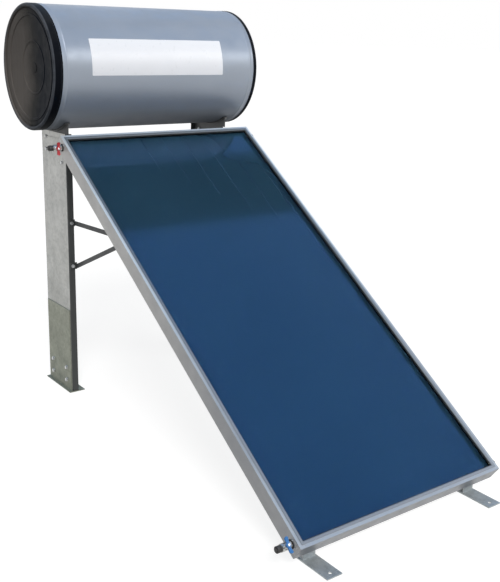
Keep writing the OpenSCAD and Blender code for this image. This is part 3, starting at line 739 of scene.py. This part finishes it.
def make_rivets():
    """Domed rivets in the sides of the casing, where its bars meet at the corners."""
    dome = {-0.0002: 0.0032, 0.0008: 0.0031, 0.0015: 0.0021, 0.0018: 0.0008}  # outward: radius
    first, second = 0.016, 0.045  # from the end of the collector
    bm = bmesh.new()
    for s in (first, second, LENGTH - first, LENGTH - second):
        for n in (-0.018, -0.05):
            for side in (-1, 1):
                centre = slope(0, s, n)
                points = [Vector((side * (HALF_W + d), centre.y, centre.z)) for d in dome]
                tube(bm, points, list(dome.values()), 14)
    new_piece("casing_rivets", bm, "zinc")


def wing_width(t):
    """Half the width of a handle's wings, where t is 0 at the pin and 1 or -1 at a tip."""
    hub, tip = 0.12, 0.86
    width = 0.0048 + 0.0046 * abs(t) ** 1.4
    if abs(t) > tip:
        width *= math.sqrt(max(0.0, 1 - ((abs(t) - tip) / (1 - tip)) ** 2)) * 0.75 + 0.25
    return max(width, 0.0072) if abs(t) < hub else width


def make_handle(name, node, body, finish, joint):
    """Butterfly handle: two swept wings with finger ridges round a hub with a nut."""
    pin = Vector(joint["pos_m"])
    out = Vector(joint["axis"]).normalized()
    across = Vector((1, 0, 0))
    up = across.cross(out)
    if up.z < 0:
        up = -up
    reach, half_thick, steps = 0.0288, 0.0032, 14

    def lift(z):
        return 0.0295 + 0.0045 * (abs(z) / reach) ** 2

    section = ((-1, 0), (-0.82, 1), (0.82, 1), (1, 0), (0.82, -1), (-0.82, -1))
    bm = bmesh.new()
    rows = []
    for i in range(steps + 1):
        t = -1 + 2 * i / steps
        z, w = t * reach, wing_width(t)
        row = []
        for a, b in section:
            height = lift(z) + half_thick * b
            row.append(bm.verts.new(pin + across * (w * a) + up * z + out * height))
        rows.append(row)
    skin_faces(bm, rows, closed=False)

    ridge = {-1: 0.0006, -0.5: 0.0011, 0: 0.0012, 0.5: 0.0011, 1: 0.0006}  # across: radius
    for z in (-0.021, -0.0165, -0.012, 0.012, 0.0165, 0.021):
        foot = pin + up * z + out * (lift(z) + 0.003)
        tube(bm, [foot + across * (0.0055 * k) for k in ridge], list(ridge.values()), 8)
    hub = {0.0246: 0.0082, 0.0252: 0.0092, 0.033: 0.0092, 0.0345: 0.0078}  # outward: radius
    tube(bm, [pin + out * d for d in hub], list(hub.values()), 28)
    handle = new_piece(name, bm, finish, body, replaces=node)
    sharp_over(handle, 38)

    nut = {0.0342: 0.0052, 0.0368: 0.0052, 0.0372: 0.0046}
    bm = bmesh.new()
    tube(bm, [pin + out * d for d in nut], list(nut.values()), 6)
    new_piece(name + "_nut", bm, "zinc", body, smooth=False)


def make_pieces():
    make_shell()
    make_lap_seam()
    make_caps()
    make_label()
    make_glazing_bead()
    make_rivets()
    joints = {row["name"]: row for row in frame["record"]["behaviour"]["joints"]}
    for which, finish in (("hot", "red_plastic"), ("cold", "blue_plastic")):
        name, node, body = which + "_butterfly", which + "_valve_handle", which + "_handle"
        make_handle(name, node, body, finish, joints[which + "_valve_turn"])
    for stem, width in SOFT_PAIRS.items():
        for side in ("_left", "_right"):
            soften(NODES[stem + side], width)
    for node, width in SOFT_SINGLES.items():
        soften(NODES[node], width)


make_pieces()

# ---------------------------------------------------------------- camera, lights, floor

CAMERA_AT = (-2.22576, -2.89870, 1.74303)
YAW, PITCH, ROLL = 0.649772, 0.284756, 0.029030  # radians
LENS = 64.1052  # mm, on a sensor 36 mm wide

KEY, KEY_COLOUR = 1.9, (1.0, 0.98, 0.95)
KEY_FROM = Vector((-0.32, -0.66, 0.68))
KEY_SPREAD = math.radians(22)
FILL, FILL_COLOUR = 0.3, (0.9, 0.95, 1.0)
SKY_COLOUR = (0.35, 0.6, 1.0)  # in reflections of what is high up
SKY_FROM, SKY_FULL = 0.3, 0.6  # height of the direction where that colour begins and is full
STRIP_SIZE, STRIP_POWER = (6.0, 1.5), 150
STRIP_FROM = Vector((0.52, -0.77, 0.36)) * 8  # from the middle of the tank

FLOOR_HALF, FLOOR_Z = 90, -0.0006  # half its width; just under the feet
FLOOR_SHOWN, FLOOR_GLOW = 0.34, 0.81  # grey and glow where it is seen
FLOOR_BOUNCE = 0.155  # grey where it lights the object
FLAG_X, FLAG_Y, FLAG_Z = (1.3, 5.6), (0.99, 1.75), 6.0  # from and to; height
FLAG_COLOUR = (0.02, 0.022, 0.02)


def add_object(name, data):
    obj = bpy.data.objects.new(name, data)
    bpy.context.scene.collection.objects.link(obj)
    return obj


def flat_sheet(name, xs, ys, z):
    mesh = bpy.data.meshes.new(name)
    corners = [(xs[0], ys[0], z), (xs[1], ys[0], z), (xs[1], ys[1], z), (xs[0], ys[1], z)]
    mesh.from_pydata(corners, [], [(0, 1, 2, 3)])
    return add_object(name, mesh)


def make_camera():
    flat = math.cos(PITCH)
    forward = Vector((math.sin(YAW) * flat, math.cos(YAW) * flat, -math.sin(PITCH)))
    right = forward.cross(Vector((0, 0, 1))).normalized()
    up = right.cross(forward)
    c, s = math.cos(ROLL), math.sin(ROLL)
    right, up = c * right + s * up, c * up - s * right
    data = bpy.data.cameras.new("camera")
    data.sensor_fit = "HORIZONTAL"
    data.sensor_width = 36
    data.lens = LENS
    data.clip_end = 200
    cam = add_object("camera", data)
    turn = Matrix((right, up, -forward)).transposed()
    cam.matrix_world = Matrix.Translation(CAMERA_AT) @ turn.to_4x4()
    bpy.context.scene.camera = cam


def seen_rays(nt):
    """1 for camera, glossy and transmission rays, and 0 for the rays that light the object."""
    light = nt.nodes.new("ShaderNodeLightPath")
    total = light.outputs["Is Camera Ray"]
    for name in ("Is Glossy Ray", "Is Transmission Ray"):
        node = nt.nodes.new("ShaderNodeMath")
        node.operation = "MAXIMUM"
        nt.links.new(total, node.inputs[0])
        nt.links.new(light.outputs[name], node.inputs[1])
        total = node.outputs[0]
    return total


def make_floor():
    """White sweep: even and bright where it is seen, and darker where it lights the object."""
    size = (-FLOOR_HALF, FLOOR_HALF)
    floor = flat_sheet("floor", size, size, 0)
    floor.location.z = FLOOR_Z
    mat = bpy.data.materials.new("floor")
    mat.use_nodes = True
    nt = mat.node_tree
    nt.nodes.clear()
    out = nt.nodes.new("ShaderNodeOutputMaterial")

    def diffuse(grey):
        node = nt.nodes.new("ShaderNodeBsdfDiffuse")
        node.inputs["Color"].default_value = (grey, grey, grey, 1)
        return node.outputs[0]

    glow = nt.nodes.new("ShaderNodeEmission")
    glow.inputs["Color"].default_value = (1, 1, 1, 1)
    glow.inputs["Strength"].default_value = FLOOR_GLOW
    shown = nt.nodes.new("ShaderNodeAddShader")
    nt.links.new(diffuse(FLOOR_SHOWN), shown.inputs[0])
    nt.links.new(glow.outputs[0], shown.inputs[1])
    pick = nt.nodes.new("ShaderNodeMixShader")
    nt.links.new(seen_rays(nt), pick.inputs[0])
    nt.links.new(diffuse(FLOOR_BOUNCE), pick.inputs[1])
    nt.links.new(shown.outputs[0], pick.inputs[2])
    nt.links.new(pick.outputs[0], out.inputs["Surface"])
    floor.data.materials.append(mat)


def sky_colour(nt):
    """White, but blue in reflections of what is high up."""
    direction = nt.nodes.new("ShaderNodeTexCoord")
    parts = nt.nodes.new("ShaderNodeSeparateXYZ")
    nt.links.new(direction.outputs["Generated"], parts.inputs[0])
    high = nt.nodes.new("ShaderNodeMapRange")
    high.inputs["From Min"].default_value = SKY_FROM
    high.inputs["From Max"].default_value = SKY_FULL
    nt.links.new(parts.outputs["Z"], high.inputs["Value"])
    light = nt.nodes.new("ShaderNodeLightPath")
    mirrored = nt.nodes.new("ShaderNodeMath")
    mirrored.operation = "MULTIPLY"
    nt.links.new(high.outputs["Result"], mirrored.inputs[0])
    nt.links.new(light.outputs["Is Glossy Ray"], mirrored.inputs[1])
    sky = nt.nodes.new("ShaderNodeMix")
    sky.data_type = "RGBA"
    nt.links.new(mirrored.outputs[0], sky.inputs["Factor"])
    inputs = {socket.identifier: socket for socket in sky.inputs}
    inputs["A_Color"].default_value = (1, 1, 1, 1)
    inputs["B_Color"].default_value = (*SKY_COLOUR, 1)
    return next(socket for socket in sky.outputs if socket.identifier == "Result_Color")


def make_world():
    """White surroundings where they are seen, and a weak fill where they light the object."""
    world = bpy.data.worlds.new("world")
    bpy.context.scene.world = world
    world.use_nodes = True
    nt = world.node_tree
    nt.nodes.clear()
    out = nt.nodes.new("ShaderNodeOutputWorld")
    pick = nt.nodes.new("ShaderNodeMixShader")
    nt.links.new(seen_rays(nt), pick.inputs[0])
    fill = nt.nodes.new("ShaderNodeBackground")
    fill.inputs["Color"].default_value = (*FILL_COLOUR, 1)
    fill.inputs["Strength"].default_value = FILL
    nt.links.new(fill.outputs[0], pick.inputs[1])
    shown = nt.nodes.new("ShaderNodeBackground")
    nt.links.new(sky_colour(nt), shown.inputs["Color"])
    shown.inputs["Strength"].default_value = 1.0
    nt.links.new(shown.outputs[0], pick.inputs[2])
    nt.links.new(pick.outputs[0], out.inputs["Surface"])


def aim(lamp, way):
    lamp.rotation_mode = "QUATERNION"
    lamp.rotation_quaternion = way.to_track_quat("-Z", "Y")


def make_key():
    """Wide, soft sun from the front left."""
    data = bpy.data.lights.new("key", "SUN")
    data.energy = KEY
    data.angle = KEY_SPREAD
    data.color = KEY_COLOUR
    lamp = add_object("key", data)
    lamp.location = KEY_FROM * 6
    aim(lamp, -KEY_FROM)


def make_strip_light():
    """Long softbox at the front right: draws the bright band along the middle of the tank."""
    data = bpy.data.lights.new("strip", "AREA")
    data.shape = "RECTANGLE"
    data.size, data.size_y = STRIP_SIZE
    data.energy = STRIP_POWER
    lamp = add_object("strip", data)
    lamp.location = TANK_C + STRIP_FROM
    aim(lamp, TANK_C - lamp.location)


def make_flag():
    """Dark card over the back of the object that only reflections see, as in a photo studio."""
    flag = flat_sheet("flag", FLAG_X, FLAG_Y, FLAG_Z)
    mat = bpy.data.materials.new("flag")
    mat.use_nodes = True
    mat.node_tree.nodes["Principled BSDF"].inputs["Base Color"].default_value = (*FLAG_COLOUR, 1)
    flag.data.materials.append(mat)
    flag.visible_camera = flag.visible_diffuse = flag.visible_shadow = False


bpy.context.scene.view_settings.view_transform = "Standard"
make_camera()
make_floor()
make_world()
make_key()
make_strip_light()
make_flag()
